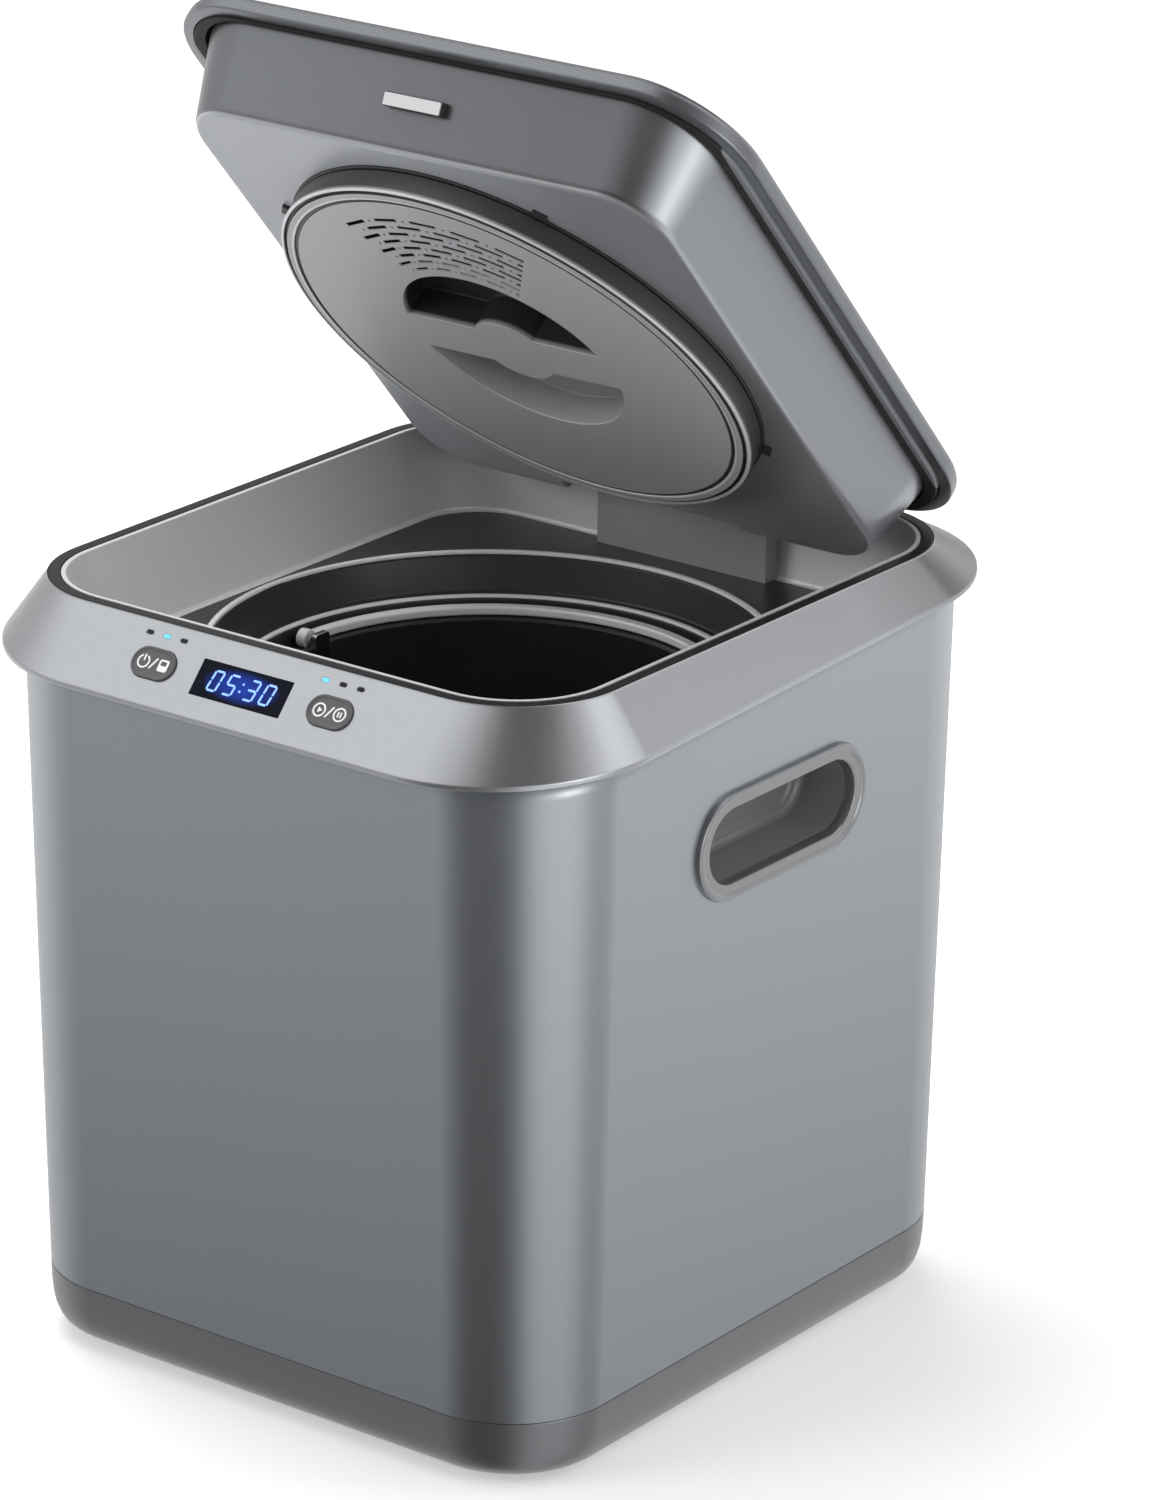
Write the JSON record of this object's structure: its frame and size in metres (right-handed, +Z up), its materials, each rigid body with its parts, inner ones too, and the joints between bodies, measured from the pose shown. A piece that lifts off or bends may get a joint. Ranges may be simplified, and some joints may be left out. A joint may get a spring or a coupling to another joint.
{
  "type": "electric food waste composter",
  "caption": "Countertop food waste composter with an open hinged lid, twist-off filter cover, lift-out stirred bucket and side handle cups.",
  "frame": {"origin": "on the floor, under the middle of the housing's width and depth", "axes": "+Z up, front with the control panel at -Y, hinge at +Y, +X to the right seen from the front"},
  "size_m": [0.3, 0.3347, 0.5407],
  "materials": {
    "shell_paint": "satin metallic grey paint on plastic",
    "rim_paint": "satin metallic light grey paint on plastic",
    "base_plastic": "dark grey",
    "lid_plastic": "satin dark grey",
    "cover_plastic": "satin grey",
    "black_plastic": "satin black",
    "grey_plastic": "satin light grey",
    "rubber": "matt",
    "coating": "cast, with a black non-stick coating",
    "steel": "brushed",
    "zinc": "zinc plated sheet",
    "cast": "as cast",
    "bronze": "sintered bearing metal",
    "nylon": "natural nylon",
    "board": "circuit board",
    "screen": "dark tinted window",
    "lens": "frosted lens",
    "carbon": "carbon granules in a fleece"
  },
  "bodies": {
    "housing": {"base_tray": "base_plastic", "feet": "rubber", "base_screws": "zinc", "shell": "shell_paint", "rim": "rim_paint", "lip": "rubber", "liner": "grey_plastic", "funnel": "black_plastic", "hinge_block": "lid_plastic", "hinge_pin": "steel", "handle_right": "grey_plastic", "handle_left": "grey_plastic", "display_window": "screen", "display_module": "black_plastic", "control_board": "board", "light_guide_left": "lens", "light_guide_right": "lens", "catch_magnet": "zinc", "well": "cast", "well_skirt": "zinc", "heater": "zinc", "chassis": "zinc", "shaft_bearing": "bronze", "gear_case": "cast", "motor": "zinc", "power_board": "board", "fan_housing": "black_plastic", "vent_grille": "base_plastic", "inlet": "black_plastic"},
    "lid": {"lid_cap": "shell_paint", "lid_gasket": "rubber", "lid_pan": "lid_plastic", "catch_plate": "steel", "hinge_arm": "black_plastic", "filter_collar": "cover_plastic"},
    "cover": {"filter_cover": "cover_plastic", "cover_gasket": "rubber", "filter_cartridge": "carbon"},
    "bucket": {"bucket": "coating", "bail_ears": "steel", "breaker_bars": "steel"},
    "bail": {"bail": "steel"},
    "agitator": {"spindle": "steel", "agitator": "coating"},
    "drive": {"output_shaft": "steel", "output_gear": "nylon"},
    "rotor": {"motor_shaft": "steel", "pinion": "bronze"},
    "fan": {"fan_rotor": "black_plastic"},
    "left_button": {"button_left": "base_plastic"},
    "right_button": {"button_right": "base_plastic"}
  },
  "joints": [
    {"name": "lid_hinge", "type": "hinge", "parent": "housing", "child": "lid", "pos_m": [0, 0.141, 0.3254], "axis": [-1, 0, 0], "range_deg": [-48.6, 26.4]},
    {"name": "cover_twist", "type": "hinge", "parent": "lid", "child": "cover", "pos_m": [0, 0.01959, 0.41034], "axis": [0, -0.7501, -0.6613], "range_deg": [0, 22]},
    {"name": "bucket_lift", "type": "slide", "parent": "housing", "child": "bucket", "axis": [0, 0, 1], "range_m": [0, 0.035]},
    {"name": "bail_swing", "type": "hinge", "parent": "bucket", "child": "bail", "pos_m": [0, -0.003, 0.2664], "axis": [1, 0, 0], "range_deg": [0, 180]},
    {"name": "motor_turn", "type": "hinge", "parent": "housing", "child": "rotor", "pos_m": [0, 0.057, 0.07], "axis": [0, 0, 1], "continuous": true},
    {"name": "drive_turn", "type": "hinge", "parent": "housing", "child": "drive", "pos_m": [0, -0.003, 0.08], "axis": [0, 0, 1], "continuous": true},
    {"name": "agitator_turn", "type": "hinge", "parent": "bucket", "child": "agitator", "pos_m": [0, -0.003, 0.12], "axis": [0, 0, 1], "continuous": true},
    {"name": "fan_turn", "type": "hinge", "parent": "housing", "child": "fan", "pos_m": [0.068, 0.15055, 0.19], "axis": [0, 0.9998, -0.0189], "continuous": true},
    {"name": "left_button_press", "type": "slide", "parent": "housing", "child": "left_button", "axis": [0, 0.7474, -0.6644], "range_m": [0, 0.0008], "stiffness_N_per_m": 600, "springref_m": -0.0015},
    {"name": "right_button_press", "type": "slide", "parent": "housing", "child": "right_button", "axis": [0, 0.7474, -0.6644], "range_m": [0, 0.0008], "stiffness_N_per_m": 600, "springref_m": -0.0015}
  ],
  "couplings": [
    {"joint": "drive_turn", "follows": "motor_turn", "ratio": -0.30435},
    {"joint": "agitator_turn", "follows": "motor_turn", "ratio": -0.30435}
  ]
}
